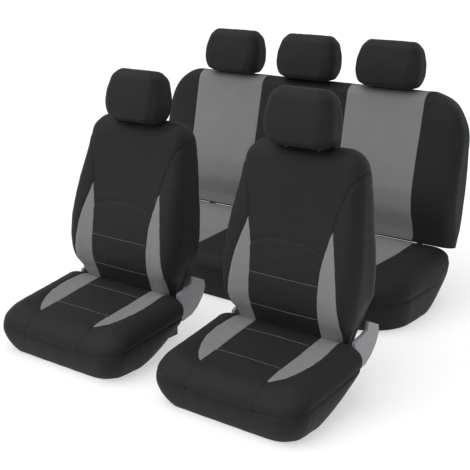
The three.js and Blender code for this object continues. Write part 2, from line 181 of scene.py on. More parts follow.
def spaced(line, pitch):
    # Points at an even pitch along a line of joined points.
    line = np.asarray(line, float)
    length = np.concatenate([[0], np.cumsum(np.linalg.norm(np.diff(line, axis=0), axis=1))])
    at = np.linspace(0, length[-1], max(2, int(length[-1] / pitch) + 1))
    return np.stack([np.interp(at, length, line[:, k]) for k in range(line.shape[1])], axis=1)


def makeMesh(name, points, faces, smooth=True):
    mesh = bpy.data.meshes.new(name)
    mesh.from_pydata(points.tolist(), [], faces if isinstance(faces, list) else faces.tolist())
    mesh.update()
    mesh.shade_smooth() if smooth else mesh.shade_flat()
    piece = bpy.data.objects.new(name, mesh)
    bpy.context.scene.collection.objects.link(piece)
    return piece


def gridFaces(rows, columns, wrap=True):
    across = columns if wrap else columns - 1
    i = np.arange(rows - 1)[:, None] * columns
    j = np.arange(across)[None, :]
    nextJ = (j + 1) % columns
    quads = np.stack([i + j, i + nextJ, i + columns + nextJ, i + columns + j], axis=-1)
    return quads.reshape(-1, 4)


def mergeDoubles(piece, distance=0.00005):
    work = bmesh.new()
    work.from_mesh(piece.data)
    bmesh.ops.remove_doubles(work, verts=work.verts, dist=distance)
    bmesh.ops.dissolve_degenerate(work, dist=distance / 5, edges=work.edges)
    work.to_mesh(piece.data)
    work.free()
    piece.data.update()


def addFloat(piece, name, values):
    attribute = piece.data.attributes.new(name, "FLOAT", "POINT")
    attribute.data.foreach_set("value", np.asarray(values, np.float32).ravel())


def addUv(piece, u, v, columns):
    # Corner by corner, so that the ring's last face doesn't run back to its first.
    layer = piece.data.uv_layers.new(name="cloth")
    loops = np.zeros(len(piece.data.loops), np.int32)
    piece.data.loops.foreach_get("vertex_index", loops)
    flatU, flatV = u.ravel()[loops].copy(), v.ravel()[loops]
    column = loops % columns
    quad = column.reshape(-1, 4)
    wraps = (quad.max(axis=1) - quad.min(axis=1)) > 1
    full = np.repeat(wraps, 4) & (column == 0)
    ringLength = (u.max(axis=1) - u.min(axis=1))[np.minimum(loops // columns, len(u) - 1)]
    flatU[full] += ringLength[full]
    layer.data.foreach_set("uv", np.stack([flatU * mm, flatV * mm], axis=1).astype(np.float32).ravel())


def lean(points, pivot, degrees):
    # Turns points about the line through the pivot along x, so that the top goes back.
    sine, cosine = math.sin(math.radians(degrees)), math.cos(math.radians(degrees))
    x, y, z = points[..., 0], points[..., 1], points[..., 2]
    return np.stack([x, y * cosine + z * sine, z * cosine - y * sine], axis=-1) + pivot


def place(points, seat):
    return (points + np.array([seatMiddle[seat], setShift[1], setShift[2]])) * mm


# Camera, lights and floor

view = {"place": (2066.8, -2662.4, 1434.9), "azimuth": 37.10, "elevation": 16.74, "lens": 77.5}
frontMiddle = (seatMiddle["driver"] + seatMiddle["passenger"]) / 2
cameraData = bpy.data.cameras.new("camera")
cameraData.lens, cameraData.sensor_width = view["lens"], 36
camera = bpy.data.objects.new("camera", cameraData)
camera.location = [
    (view["place"][0] + frontMiddle) * mm,
    (view["place"][1] + setShift[1]) * mm,
    view["place"][2] * mm,
]
camera.rotation_euler = (math.radians(90 - view["elevation"]), 0, math.radians(view["azimuth"]))
bpy.context.scene.collection.objects.link(camera)
bpy.context.scene.camera = camera

studio = {
    "sky": 0.42,
    "key": {"from": (-0.35, -0.55, 1.0), "spread": 80, "power": 2.5},
    "fill": {"from": (0.5, -1.0, 0.5), "spread": 60, "power": 0.12},
    "rear": {"from": (0.3, 1.0, 0.8), "spread": 60, "power": 0.5},
}


def addLight(name, origin, spread, power):
    # A wide soft sun: its rays come from the given direction.
    data = bpy.data.lights.new(name, "SUN")
    data.angle, data.energy = math.radians(spread), power
    light = bpy.data.objects.new(name, data)
    way = -np.array(origin, float)
    flatWay = math.hypot(way[0], way[1])
    light.rotation_euler = (math.atan2(flatWay, -way[2]), 0, math.atan2(-way[0], way[1]))
    bpy.context.scene.collection.objects.link(light)


for lightName in ("key", "fill", "rear"):
    row = studio[lightName]
    addLight(lightName, row["from"], row["spread"], row["power"])
world = bpy.data.worlds.new("studio")
bpy.context.scene.world = world
world.use_nodes = True
world.node_tree.nodes["Background"].inputs["Color"].default_value = (1, 1, 1, 1)
world.node_tree.nodes["Background"].inputs["Strength"].default_value = studio["sky"]
bpy.context.scene.view_settings.view_transform = "Standard"

floorPoints = np.array([(-40, -40, 0), (40, -40, 0), (40, 40, 0), (-40, 40, 0)], float)
floor = makeMesh("floor", floorPoints, np.array([[0, 1, 2, 3]]), smooth=False)
floorFinish = bpy.data.materials.new("paleFloor")
floorFinish.use_nodes = True
floorInputs = floorFinish.node_tree.nodes["Principled BSDF"].inputs
floorInputs["Base Color"].default_value = (0.5, 0.5, 0.5, 1)
floorInputs["Emission Color"].default_value = (1, 1, 1, 1)
floorInputs["Emission Strength"].default_value = 0.5
floorInputs["Roughness"].default_value = 0.9
floor.data.materials.append(floorFinish)
print("camera, lights and floor are in place")


# Finishes

def newFinish(name):
    finish = bpy.data.materials.new(name)
    finish.use_nodes = True
    tree = finish.node_tree
    return finish, tree, tree.nodes["Principled BSDF"]


def addNode(tree, kind, **values):
    node = tree.nodes.new(kind)
    for key, value in values.items():
        if key in node.inputs:
            node.inputs[key].default_value = value
        else:
            setattr(node, key, value)
    return node


def mathNode(tree, operation, a, b=None, clamp=False):
    node = tree.nodes.new("ShaderNodeMath")
    node.operation, node.use_clamp = operation, clamp
    for socket, value in zip(node.inputs, (a, b)):
        if value is None:
            continue
        if isinstance(value, (int, float)):
            socket.default_value = value
        else:
            tree.links.new(value, socket)
    return node.outputs[0]


def mixColor(tree, factor, first, second, blendType="MIX"):
    node = tree.nodes.new("ShaderNodeMix")
    node.data_type, node.blend_type = "RGBA", blendType
    for socket, value in ((node.inputs[0], factor), (node.inputs[6], first), (node.inputs[7], second)):
        if isinstance(value, (int, float, tuple)):
            socket.default_value = value
        else:
            tree.links.new(value, socket)
    return node.outputs[2]


clothFinish = {
    "black": (0.0115, 0.0118, 0.0130, 1),
    "blackWorn": (0.0158, 0.0162, 0.0178, 1),
    "grey": (0.163, 0.163, 0.163, 1),
    "greyWorn": (0.200, 0.200, 0.200, 1),
    "threadPitch": 0.0011,
    "panelSharpness": 2500.0,
}


def clothMaterial(name):
    # Fine plain weave from two crossed wave patterns on the cloth's own unrolled map,
    # a slow mottling of the dye, and a grey panel wherever the attribute is above zero.
    finish, tree, shader = newFinish(name)
    link = tree.links.new
    uv = addNode(tree, "ShaderNodeUVMap", uv_map="cloth").outputs["UV"]
    # A wave texture repeats every pi / 10 over its scale, and each thread is half a wave.
    waveScale = math.pi / 20 / clothFinish["threadPitch"]
    warp = addNode(tree, "ShaderNodeTexWave", wave_type="BANDS", bands_direction="X", Scale=waveScale)
    weft = addNode(tree, "ShaderNodeTexWave", wave_type="BANDS", bands_direction="Y", Scale=waveScale)
    link(uv, warp.inputs["Vector"])
    link(uv, weft.inputs["Vector"])
    weave = mathNode(tree, "MULTIPLY", warp.outputs["Fac"], weft.outputs["Fac"])
    mottle = addNode(tree, "ShaderNodeTexNoise", Scale=9.0, Detail=4.0, Roughness=0.6)
    link(uv, mottle.inputs["Vector"])
    fleck = addNode(tree, "ShaderNodeTexNoise", Scale=420.0, Detail=2.0)
    link(uv, fleck.inputs["Vector"])
    tone = mathNode(tree, "MULTIPLY", fleck.outputs["Fac"], 0.35)
    shade = mathNode(tree, "ADD", tone, mathNode(tree, "MULTIPLY", mottle.outputs["Fac"], 0.65))
    black = mixColor(tree, shade, clothFinish["black"], clothFinish["blackWorn"])
    grey = mixColor(tree, shade, clothFinish["grey"], clothFinish["greyWorn"])
    panel = addNode(tree, "ShaderNodeAttribute", attribute_name="panelEdge").outputs["Fac"]
    mask = mathNode(tree, "MULTIPLY", panel, clothFinish["panelSharpness"], clamp=True)
    link(mixColor(tree, mask, black, grey), shader.inputs["Base Color"])
    shader.inputs["Roughness"].default_value = 0.62
    shader.inputs["Sheen Weight"].default_value = 0.02
    shader.inputs["Sheen Roughness"].default_value = 0.45
    shader.inputs["Specular IOR Level"].default_value = 0.14
    weaveHeight = mathNode(tree, "MULTIPLY", weave, 0.6)
    relief = mathNode(tree, "ADD", weaveHeight, mathNode(tree, "MULTIPLY", fleck.outputs["Fac"], 0.6))
    bumpNode = addNode(tree, "ShaderNodeBump", Strength=0.18, Distance=0.0006)
    link(relief, bumpNode.inputs["Height"])
    link(bumpNode.outputs["Normal"], shader.inputs["Normal"])
    return finish


def plainMaterial(name, color, roughness, metallic=0.0, grainScale=300.0, grain=0.15, coat=0.0):
    # A moulded or painted surface: a little uneven in tone, gloss and height.
    finish, tree, shader = newFinish(name)
    link = tree.links.new
    coords = addNode(tree, "ShaderNodeTexCoord").outputs["Object"]
    fine = addNode(tree, "ShaderNodeTexNoise", Scale=grainScale, Detail=3.0)
    slow = addNode(tree, "ShaderNodeTexNoise", Scale=14.0, Detail=3.0)
    link(coords, fine.inputs["Vector"])
    link(coords, slow.inputs["Vector"])
    dark = tuple(c * 0.88 for c in color) + (1,)
    light = tuple(min(1, c * 1.1) for c in color) + (1,)
    link(mixColor(tree, slow.outputs["Fac"], dark, light), shader.inputs["Base Color"])
    rough = mathNode(tree, "ADD", mathNode(tree, "MULTIPLY", slow.outputs["Fac"], 0.16), roughness - 0.08)
    link(rough, shader.inputs["Roughness"])
    shader.inputs["Metallic"].default_value = metallic
    shader.inputs["Coat Weight"].default_value = coat
    bumpNode = addNode(tree, "ShaderNodeBump", Strength=grain, Distance=0.0004)
    link(fine.outputs["Fac"], bumpNode.inputs["Height"])
    link(bumpNode.outputs["Normal"], shader.inputs["Normal"])
    return finish


coverCloth = clothMaterial("coverCloth")
trimPlastic = plainMaterial("trimPlastic", (0.25, 0.25, 0.268), 0.45, grainScale=500, grain=0.25)
blackPlastic = plainMaterial("blackPlastic", (0.02, 0.02, 0.021), 0.5, grainScale=600, grain=0.3)
paintedSteel = plainMaterial(
    "paintedSteel", (0.018, 0.018, 0.02), 0.42, metallic=0.3, grainScale=220, grain=0.2
)
brightSteel = plainMaterial(
    "brightSteel", (0.62, 0.63, 0.65), 0.16, metallic=1.0, grainScale=160, grain=0.05
)
elasticWeb = plainMaterial("elasticWeb", (0.014, 0.014, 0.015), 0.85, grainScale=900, grain=0.6)
greyThread = plainMaterial("greyThread", (0.34, 0.345, 0.35), 0.7, grainScale=1500, grain=0.4)
blackThread = plainMaterial("blackThread", (0.012, 0.012, 0.013), 0.6, grainScale=1500, grain=0.4)
print("finishes are ready")


# A padded form: rows of rounded sections, then seams pressed into it

# Each groove has a shallow wide skirt round its deep part: a share of the depth, and a
# multiple of the width. Outside is the distance stored where there is no grey panel.
groove = {"skirtDepth": 0.22, "skirtWidth": 3.2}
outside = -10.0


def paddedPiece(
    name, seat, grid, frontColumn, flat, seams=(), panels=(), swell=None, body="seats", leanBy=None
):
    # flat turns u and the grid into the two plain coordinates that seams and panels are
    # drawn in. seams: (line, groove depth, groove width, where it applies). panels:
    # (closed outline, where it applies). swell: how far each point stands proud.
    u, v = unrolled(grid, frontColumn)
    normal = surfaceNormals(grid)
    a, b = flat(u, grid)
    press = np.zeros(u.shape) if swell is None else swell(a, b, grid)
    for line, depth, width, where in seams:
        near = curveDistance(a, b, line)
        deep = np.exp(-((near / width) ** 2))
        skirt = groove["skirtDepth"] * np.exp(-((near / (width * groove["skirtWidth"])) ** 2))
        press = press + (puckers(a + b, near) - depth * (deep + skirt)) * where(grid)
    shaped = grid + normal * press[..., None]
    if leanBy is not None:
        shaped = lean(shaped, *leanBy)
    rows, columns = u.shape
    piece = makeMesh(name, place(shaped, seat).reshape(-1, 3), gridFaces(rows, columns))
    addUv(piece, u, v, columns)
    edge = np.full(u.shape, outside)
    for outline, where in panels:
        edge = np.maximum(edge, np.where(where(grid), insideDistance(a, b, outline), outside))
    addFloat(piece, "panelEdge", edge * mm)
    piece.data.materials.append(coverCloth)
    mergeDoubles(piece)
    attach(piece, body)
    return piece, (a, b, shaped, surfaceNormals(shaped))


def onSurface(form, line, where, lift):
    # A place and a normal for each flat point: the plane fitted by least squares through
    # its nearest grid points, read at the point itself and lifted along the normal.
    a, b, points, normals = form
    mask = where(points)
    a, b, points, normals = a[mask], b[mask], points[mask], normals[mask]
    pitch, neighbours = 3.0, 12
    result = []
    for x, y in spaced(line, pitch):
        near = np.argpartition((a - x) ** 2 + (b - y) ** 2, neighbours)[:neighbours]
        fit = np.stack([a[near] - x, b[near] - y, np.ones(neighbours)], axis=1)
        plane = np.linalg.lstsq(fit, points[near], rcond=None)[0]
        normal = normals[near].mean(axis=0)
        result.append(np.concatenate([plane[2] + normal / np.linalg.norm(normal) * lift, normal]))
    return np.array(result)


# Lift is how far a stitch's middle line stands off the cloth.
contrastStitch = {"length": 5.2, "gap": 1.6, "thick": 1.1, "lift": 0.35}
topstitch = {"length": 4.0, "gap": 1.8, "thick": 0.8, "lift": 0.15}
# Rings along a stitch: (place as a share of its length, width as a share of its thickness).
stitchBar = {"sides": 6, "rings": [(-0.5, 0.15), (-0.42, 0.8), (0.0, 1.0), (0.42, 0.8), (0.5, 0.15)]}


def barFaces(count):
    # Quads between neighbouring rings and a flat cap at both ends, for every bar.
    sides, rings = stitchBar["sides"], len(stitchBar["rings"])
    caps = [list(range(sides))[::-1], list(range((rings - 1) * sides, rings * sides))]
    pattern = gridFaces(rings, sides).tolist() + caps
    firsts = range(0, count * rings * sides, rings * sides)
    return [[corner + first for corner in face] for first in firsts for face in pattern]


def stitchRow(name, seat, form, lines, where, finish, body, stitch):
    # Short rounded bars along each line, laid on the form's surface. A ring's corner is the
    # bar's middle, plus its share of the length, plus a circle of its share of the width.
    length, reach = stitch["length"], int(stitch["length"] / 2)
    starts, ends, ups = [], [], []
    for line in lines:
        run = spaced(onSurface(form, line, where, stitch["lift"]), 1.0)
        count = max(int(len(run) / (length + stitch["gap"])), 1)
        middle = np.linspace(length / 2, len(run) - 1 - length / 2, count).astype(int)
        starts.append(run[np.maximum(middle - reach, 0), :3])
        ends.append(run[np.minimum(middle + reach, len(run) - 1), :3])
        ups.append(run[middle, 3:])
    start, end, up = np.vstack(starts), np.vstack(ends), np.vstack(ups)
    way = end - start
    side = np.cross(way, up)
    side /= np.linalg.norm(side, axis=1, keepdims=True)
    up = np.cross(side, way / np.linalg.norm(way, axis=1, keepdims=True))
    turn = np.linspace(0, 2 * math.pi, stitchBar["sides"], endpoint=False)[:, None]
    around = side[:, None] * np.cos(turn) + up[:, None] * np.sin(turn)
    along, width = (np.array(column)[:, None, None] for column in zip(*stitchBar["rings"]))
    centre = (start + end)[:, None, None] / 2 + way[:, None, None] * along
    points = centre + around[:, None] * width * stitch["thick"] / 2
    piece = makeMesh(name, place(points, seat).reshape(-1, 3), barFaces(len(start)))
    piece.data.materials.append(finish)
    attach(piece, body)
    return piece


def softFolds(a, b, seed, height, pitch=58.0):
    # Broad shallow folds: five waves, each in its own direction with its own length.
    random = np.random.default_rng(seed)
    waves = 5
    total = np.zeros(a.shape)
    for _ in range(waves):
        turn = random.uniform(0, math.pi)
        length = pitch * random.uniform(0.7, 1.7)
        phase = random.uniform(0, 6.28)
        total += np.sin(2 * math.pi * (a * math.cos(turn) + b * math.sin(turn)) / length + phase)
    return total / waves * height


def puckers(along, near, pitch=9.0, reach=9.0, height=0.35, drift=23.0):
    # Little gathers across a seam: a sine along it, whose phase drifts slowly, times a
    # bell of the distance from it.
    wave = np.sin(2 * math.pi * along / pitch + np.sin(along / drift))
    return height * wave * np.exp(-((near / reach) ** 2))


def raised(across, along, pad):
    # How far a bolster or a quilt stands proud: its height, times a bell across the seat,
    # times a fade in and a fade out along it.
    faded = smoothStep(*pad["fadeIn"], along)
    shape = bump(pad["middle"], pad["width"], across) * faded * (1 - smoothStep(*pad["fadeOut"], along))
    return pad["height"] * shape


def byLevel(u, grid):
    return u, grid[..., 2]


def byPlan(u, grid):
    return grid[..., 0], grid[..., 1]


def everywhere(grid):
    return np.ones(grid.shape[:-1], bool)


def frontOf(middle):
    return lambda grid: grid[..., 1] < middle


def bothSides(line):
    return [line, mirrored(line)]


def acrossMiddle(line):
    # A half line and its mirror image, joined into one line.
    return line + mirrored(line)[::-1]


# Degrees each backrest leans back, the level of its headrest's foot, and how much wider
# each seat's covers are on their right side.
frontLean = {"driver": 7, "passenger": 10}
restFoot = {"driver": 631, "passenger": 624}
widen = {"driver": 1.0, "passenger": 1.025, "rear": 1.0}


def widened(grid, seat, share=1.0):
    return np.where(grid[..., 0] < 0, 1 + (widen[seat] - 1) * share, 1.0)


# Half width and the depths of front and back at each level, then the seams of one side.
frontBack = {
    "level": [-38, 0, 30, 70, 100, 150, 200, 250, 300, 350, 400, 450, 500, 550, 590, 645],
    "half": [209, 211, 215, 226, 237, 251, 258, 260, 258, 253, 246, 240, 233, 226, 220, 214],
    "front": [-60, -70, -84, -106, -123, -138, -143, -143, -139, -134, -128, -124, -121, -118, -115, -112],
    "back": [30, 33, 34, 34, 34, 33, 32, 29, 26, 23, 19, 17, 14, 9, 5, 0],
    "top": 643.0,
    "shoulder": 66.0,
    "cornerFront": 48.0,
    "cornerBack": 58.0,
    "counts": (112, 14, 14),
    "insertOuter": [
        (128, 6), (204, 6), (206, 40), (210, 80), (211, 130), (206, 180),
        (199, 230), (189, 280), (176, 330), (166, 366), (160, 392),
    ],
    "insertInner": [
        (149, 349), (139, 306), (134, 260), (132, 217), (132, 177),
        (132, 124), (130, 80), (128, 40), (128, 6),
    ],
    "arc": [(139, 308), (127, 316), (113, 323), (90, 331), (52, 337), (18, 339.5)],
    "sideSeam": [
        (160, 392), (160, 408), (170, 451), (187, 507), (205, 541), (229, 568), (252, 580), (300, 586),
    ],
    "stitches": {"driver": (214, 105), "passenger": (203, 95)},
    "stitchReach": 129,
    "trimRoom": 0.05,
    "footRise": 40,
    "footFade": 30,
    "bolster": {"middle": 205, "width": 42, "fadeIn": (20, 120), "fadeOut": (380, 520), "height": 11},
    "quilt": {"middle": 0, "width": 120, "fadeIn": (0, 60), "fadeOut": (300, 340), "height": 3.5},
}


def backSeams(shape, where):
    # The insert's outer line starts at its second point, so that no seam runs across.
    lines = ((shape["insertOuter"][1:], 2.6), (shape["insertInner"], 1.6), (shape["sideSeam"], 4.2))
    seams = [(line, depth, 2.6, where) for half, depth in lines for line in bothSides(half)]
    return seams + [(acrossMiddle(shape["arc"]), 3.4, 2.4, where)]


def crownedRows(shape, step=5.0):
    # Levels up a form whose top closes as an ellipse: straight rows at an even step, then
    # rows at even angles up to the top line.
    start = shape["top"] - shape["shoulder"]
    straight = np.arange(shape["level"][0], start, step)
    angle = np.linspace(0, math.pi / 2, 20)
    level = np.concatenate([straight, start + shape["shoulder"] * np.sin(angle)])
    closing = np.concatenate([np.ones(len(straight)), np.cos(angle)])
    return level, closing


def formGrid(shape, level, closing, widthLoss, depthPower=1.0):
    # Half width and depth from the tables. As closing falls from 1 to 0 the width loses
    # widthLoss, and the depth falls as closing to depthPower, to a thousandth at least.
    half = smoothCurve(shape["level"], shape["half"], level)
    front = smoothCurve(shape["level"], shape["front"], level)
    back = smoothCurve(shape["level"], shape["back"], level)
    half = half - widthLoss * (1 - closing)
    middle = (front + back) / 2
    depth = (back - front) / 2 * np.maximum(closing, 1e-3) ** depthPower
    x, y = roundedOutline(half, depth, shape["cornerFront"], shape["cornerBack"], shape["counts"])
    return np.stack([x, y + middle[:, None], np.repeat(level[:, None], x.shape[1], 1)], axis=-1)


def raiseFoot(grid, shape):
    # The foot rises by footRise from its front edge to its back edge, fading out at the
    # level footFade.
    front, back, low, fade = shape["front"][0], shape["back"][0], shape["level"][0], shape["footFade"]
    slope = np.clip((grid[..., 1] - front) / (back - front), 0, 1) * shape["footRise"]
    grid[..., 2] += slope * np.clip((fade - grid[..., 2]) / (fade - low), 0, 1)


def frontMiddleColumn(counts):
    across, along, corner = counts
    return across // 2 + corner + along + corner + across // 2


def footRows(grid, rise, inset):
    # The hem is turned under and goes back up inside the form, where it closes flat.
    ring = grid[0]
    middle = ring.mean(axis=0)
    outward = (ring - middle) / np.linalg.norm(ring[:, :2] - middle[:2], axis=1)[:, None]
    outward[:, 2] = 0
    rows = []
    for share, up in ((0.35, -1.5), (0.8, -1.0), (1.0, 2.0)):
        rows.append(ring - outward * inset * share + np.array([0, 0, up]))
    lidLevel = max(ring[:, 2].max() + 6, rise)
    lid = rows[-1].copy()
    lid[:, 2] = lidLevel
    rows.append((rows[-1] + lid) / 2)
    rows.append(lid)
    flat = lid - middle
    for share in (0.97, 0.8, 0.55, 0.3, 0.1, 0.0):
        ringIn = middle + flat * share
        ringIn[:, 2] = lidLevel
        rows.append(ringIn)
    return np.concatenate([np.stack(rows[::-1]), grid])


def buildFrontBack(seat):
    level, closing = crownedRows(frontBack)
    grid = formGrid(frontBack, level, closing, widthLoss=frontBack["shoulder"])
    # Narrower low down at the back, where it passes between the recliner trims.
    besideTrim = smoothStep(-75, -25, grid[..., 1]) * (1 - smoothStep(120, 200, grid[..., 2]))
    grid[..., 0] *= 1 - frontBack["trimRoom"] * besideTrim
    # Its foot rises well clear of the cushion pan, for when it reclines.
    raiseFoot(grid, frontBack)
    grid[..., 0] *= widened(grid, seat, 1 - besideTrim)
    grid = footRows(grid, rise=26, inset=9)
    where = frontOf(20)
    outline = frontBack["insertOuter"] + frontBack["insertInner"]
    reach = frontBack["stitchReach"]
    stitches = [[(-reach, z), (reach, z)] for z in frontBack["stitches"][seat]]
    seams = backSeams(frontBack, where) + [(line, 1.6, 2.4, where) for line in stitches]

    def swell(a, b, grid):
        # The bolsters stand proud of the middle, and all of it fades out towards the foot.
        pads = raised(np.abs(a), b, frontBack["bolster"]) + raised(a, b, frontBack["quilt"])
        folds = softFolds(a, b, seed=3, height=0.9)
        return (pads * where(grid) + folds) * smoothStep(45, 120, b)

    piece, form = paddedPiece(
        f"{seat}BackrestCover", seat, grid, frontMiddleColumn(frontBack["counts"]), byLevel, seams,
        [(line, where) for line in bothSides(outline)], swell,
        body=f"{seat}_backrest", leanBy=(frontPivot, frontLean[seat]),
    )
    side = bothSides([(u - 6, z + 3) for u, z in frontBack["sideSeam"][:-1]])
    arc = [(u, z + 6) for u, z in acrossMiddle(frontBack["arc"])]
    for kind, lines, thread, stitch in (
        ("Stitches", stitches, greyThread, contrastStitch),
        ("Topstitch", side + [arc], blackThread, topstitch),
    ):
        name = f"{seat}Backrest{kind}"
        stitchRow(name, seat, form, lines, everywhere, thread, f"{seat}_backrest", stitch)
    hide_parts(f"{seat}_backrest_cover", f"{seat}_backrest_foam")
    return piece


frontRest = {
    "level": [0, 8, 22, 42, 68, 98, 132, 168, 185],
    "half": [98, 106, 117, 124, 128, 126.5, 119, 109, 103],
    "front": [-150, -154, -160, -164, -166, -165, -162, -158, -156],
    "back": [-60, -57, -52, -48, -46, -47, -50, -54, -56],
    "top": 185.0,
    "shoulder": 36.0,
    "cornerFront": 44.0,
    "cornerBack": 40.0,
    "counts": (44, 12, 10),
    "low": 16.0,
    "topLoss": 24,
    "lowLoss": 30,
    "depthPower": 0.8,
    "gusset": [(88, 4), (104, 30), (111, 62), (110, 110), (103, 150), (84, 181)],
}


def restGrid(shape, footLevel):
    # The headrest closes as an ellipse at both ends.
    start = shape["top"] - shape["shoulder"]
    low = shape["low"]
    up = np.linspace(0, math.pi / 2, 14)
    straight = np.arange(low + 4, start, 5.0)
    level = np.concatenate([low - low * np.cos(up), straight, start + shape["shoulder"] * np.sin(up)])
    closing = np.concatenate([np.sin(up), np.ones(len(straight)), np.cos(up)])
    widthLoss = np.where(level > start, shape["topLoss"], shape["lowLoss"])
    grid = formGrid(shape, level, closing, widthLoss, shape["depthPower"])
    grid[..., 2] += footLevel
    return grid


def buildHeadrest(name, seat, shift, shape, footLevel, leanBy, body, nodes):
    grid = restGrid(shape, footLevel)
    grid[..., 0] += shift
    column = frontMiddleColumn(shape["counts"])
    gusset = [(u, level + footLevel) for u, level in shape["gusset"]]
    front = frontOf(grid[..., 1].mean())
    seams = [(line, 2.6, 2.6, front) for line in bothSides(gusset)]

    def swell(a, b, points):
        # The crown stands proud, highest 95 above the foot.
        crown = bump(0, 70, a) * bump(footLevel + 95, 70, b)
        return 3.5 * crown * front(points) + softFolds(a, b, seed=11, height=0.6)

    piece, form = paddedPiece(name, seat, grid, column, byLevel, seams, (), swell, body=body, leanBy=leanBy)
    inner = [(u - 6, level) for u, level in gusset]
    stitchName = name.replace("Cover", "Topstitch")
    stitchRow(stitchName, seat, form, bothSides(inner), everywhere, blackThread, body, topstitch)
    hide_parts(*nodes)
    return piece


frontCushion = {
    "half": 286.0, "front": -493.0, "back": -113.0,
    "share": [0.0, 0.12, 0.3, 0.5, 0.62],
    "sideInset": [38, 24, 9, 1, 0],
    "noseInset": [24, 14, 5, 0, 2],
    "tailInset": [0, 0, 0, 0, 0],
    "edge": {"side": 50.0, "nose": 80.0, "tail": 11.0},
    "cornerFront": 74.0, "cornerBack": 26.0,
    "hem": lambda y: 3 + 96 * np.clip((y + 330) / 217, 0, 1) ** 1.6,
    "top": lambda y: 146 + 54 * np.clip((y + 491) / 366, 0, 1),
    "counts": (104, 68, 20),
    "insertOuter": [
        (128, -100), (200, -100), (201, -140), (204, -175), (208, -230),
        (203, -287), (188, -335), (168, -375), (145, -403), (127, -418),
    ],
    "insertInner": [(124, -339), (127, -269), (128, -186), (128, -100)],
    "ahead": [(127, -418), (131, -446), (129, -470), (128, -489)],
    "boxing": lambda x, y: 83 + 10 * (x / 190) ** 2 + 30 * np.clip((y + 430) / 300, 0, 1),
    "boxed": lambda y: np.ones(y.shape),
    "stitches": [(-186, 126), (-338, 122)],
    "bolster": {"middle": 214, "width": 34, "fadeIn": (-470, -400), "fadeOut": (-150, -112), "height": 9},
    "quilt": {"middle": 0, "width": 110, "fadeIn": (-430, -340), "fadeOut": (-170, -120), "height": 3},
}


def cushionGrid(shape):
    # Rings of the cushion's plan. Up the wall the ring moves in and out by the inset
    # tables, round the edge it moves in as an ellipse, then it shrinks across the top.
    shares = np.linspace(0, shape["share"][-1], 22)
    start = shape["share"][-1]
    angle = np.linspace(0, math.pi / 2, 20)[1:]
    inset = {}
    for side, table in (("side", "sideInset"), ("nose", "noseInset"), ("tail", "tailInset")):
        wall = smoothCurve(shape["share"], shape[table], shares)
        edge = shape["edge"][side]
        around = wall[-1] + (edge - wall[-1]) * (1 - np.cos(angle))
        inset[side] = np.concatenate([wall, around])
    height = np.concatenate([shares, start + (1 - start) * np.sin(angle)])
    halfX = shape["half"] - inset["side"]
    front, back = shape["front"] + inset["nose"], shape["back"] - inset["tail"]
    halfY, middle = (back - front) / 2, (back + front) / 2
    shrink = np.linspace(1, 0, 40)[1:]
    ringX = np.concatenate([halfX, halfX[-1] - halfY[-1] * (1 - shrink)])
    ringY = np.concatenate([halfY, np.maximum(halfY[-1] * shrink, 0.01)])
    middle = np.concatenate([middle, np.repeat(middle[-1], len(shrink))])
    height = np.concatenate([height, np.ones(len(shrink))])
    radiusFront = np.minimum(shape["cornerFront"], ringY)
    x, y = roundedOutline(ringX, ringY, radiusFront, shape["cornerBack"], shape["counts"])
    y = y + middle[:, None]
    if "bow" in shape:
        forward = np.clip((middle[:, None] - y) / ringY[:, None], 0, 1)
        y = y + shape["bow"] * (x / ringX[:, None]) ** 2 * forward * (ringY / ringY[0])[:, None]
    hem, top = shape["hem"](y), shape["top"](y)
    return np.stack([x, y, hem + (top - hem) * height[:, None]], axis=-1)


def pressBoxing(grid, shape):
    # The seam round the wall: a narrow groove with a wide shallow one. The hem's own rows
    # under the form are left as they are.
    hemRows, depth = 11, 4.4
    away = grid[..., 2] - shape["boxing"](grid[..., 0], grid[..., 1])
    crease = np.exp(-((away / 3.0) ** 2)) + 0.25 * np.exp(-((away / 10.0) ** 2))
    outer = np.arange(len(grid)) >= hemRows
    press = (crease * depth * shape["boxed"](grid[..., 1]))[..., None] * outer[:, None, None]
    return grid - surfaceNormals(grid) * press


def frontSwell(a, b, points):
    # The front cushion's bolsters stand proud, and the middle is quilted.
    pads = raised(np.abs(a), b, frontCushion["bolster"]) + raised(a, b, frontCushion["quilt"])
    return pads * smoothStep(110, 150, points[..., 2]) + softFolds(a, b, seed=5, height=0.8)


def benchSwell(a, b, points):
    # Soft folds that die away towards the rear, where the cover is set back by 0.8 to
    # clear the bench's back.
    rear = smoothStep(760, 830, b)
    return softFolds(a, b, seed=7, height=1.1, pitch=90.0) * (1 - rear) - 0.8 * rear


def buildCushion(name, seat, shape, swell, nodes, lid, inset):
    def onTop(points):
        return points[..., 2] > 60

    def onCrown(points):
        return points[..., 2] > 120

    grid = cushionGrid(shape)
    grid[..., 0] *= widened(grid, seat)
    grid = pressBoxing(footRows(grid, lid, inset), shape)
    outline = shape["insertOuter"] + shape["insertInner"]
    stitches = [[(-half, y), (half, y)] for y, half in shape.get("stitches", ())]
    seams = [(line, 1.6, 2.4, onTop) for line in stitches]
    for key, depth in (("insertOuter", 2.4), ("insertInner", 1.6), ("ahead", 3.2)):
        if key in shape:
            seams += [(line, depth, 2.6, onTop) for line in bothSides(shape[key])]
    piece, form = paddedPiece(
        name, seat, grid, frontMiddleColumn(shape["counts"]), byPlan, seams,
        [(line, onTop) for line in bothSides(outline)], swell, body="seats",
    )
    if stitches:
        stitchName = f"{seat}CushionStitches"
        stitchRow(stitchName, seat, form, stitches, onCrown, greyThread, "seats", contrastStitch)
    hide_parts(*nodes)
    return piece


